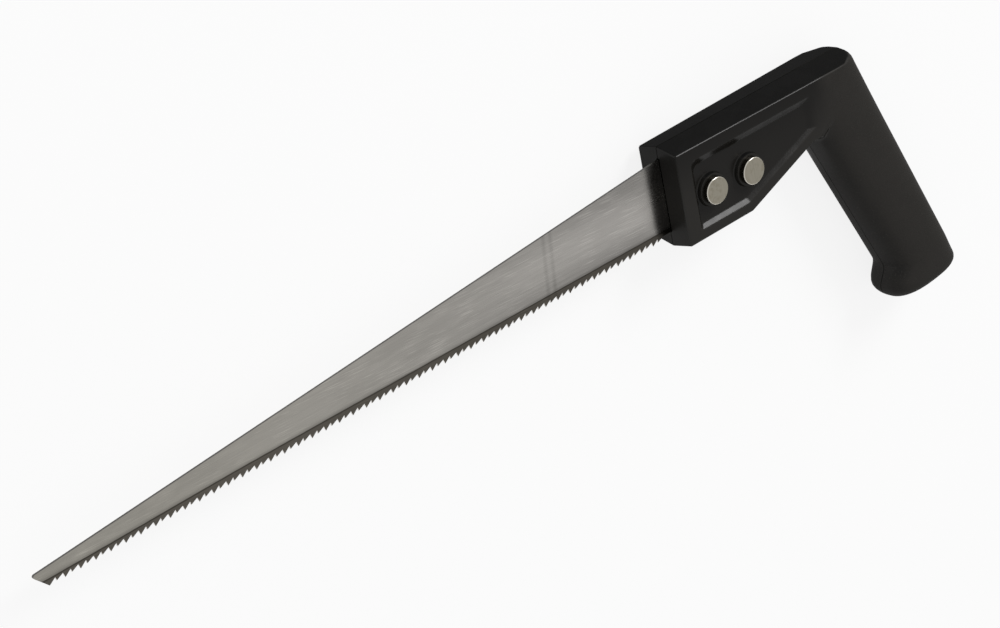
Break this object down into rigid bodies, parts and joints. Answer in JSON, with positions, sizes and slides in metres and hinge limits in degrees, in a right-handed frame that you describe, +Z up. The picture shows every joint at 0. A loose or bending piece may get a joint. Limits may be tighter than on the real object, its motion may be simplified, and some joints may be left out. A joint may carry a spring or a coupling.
{
  "type": "keyhole saw",
  "caption": "Keyhole saw lying on its side: a long tapered toothed steel blade riveted between the two moulded halves of a black pistol-grip handle.",
  "frame": {"origin": "middle of the underside of the saw's box, as it lies on its right side", "axes": "+X from the blade's tip to the handle, +Y from the teeth to the spine, +Z up, out of the saw's left side"},
  "size_m": [0.4498, 0.1206, 0.0284],
  "materials": {
    "blade_steel": "satin, brushed along the blade, with a darker ground band along the teeth",
    "handle_plastic": "black, satin on the arm and finely grained on the grip",
    "rivet_nickel": "satin nickel plate"
  },
  "bodies": {
    "root": {"blade": "blade_steel", "handle_left_half": "handle_plastic", "handle_right_half": "handle_plastic", "front_rivet_sleeve": "rivet_nickel", "front_rivet_pin": "rivet_nickel", "rear_rivet_sleeve": "rivet_nickel", "rear_rivet_pin": "rivet_nickel"}
  },
  "joints": []
}
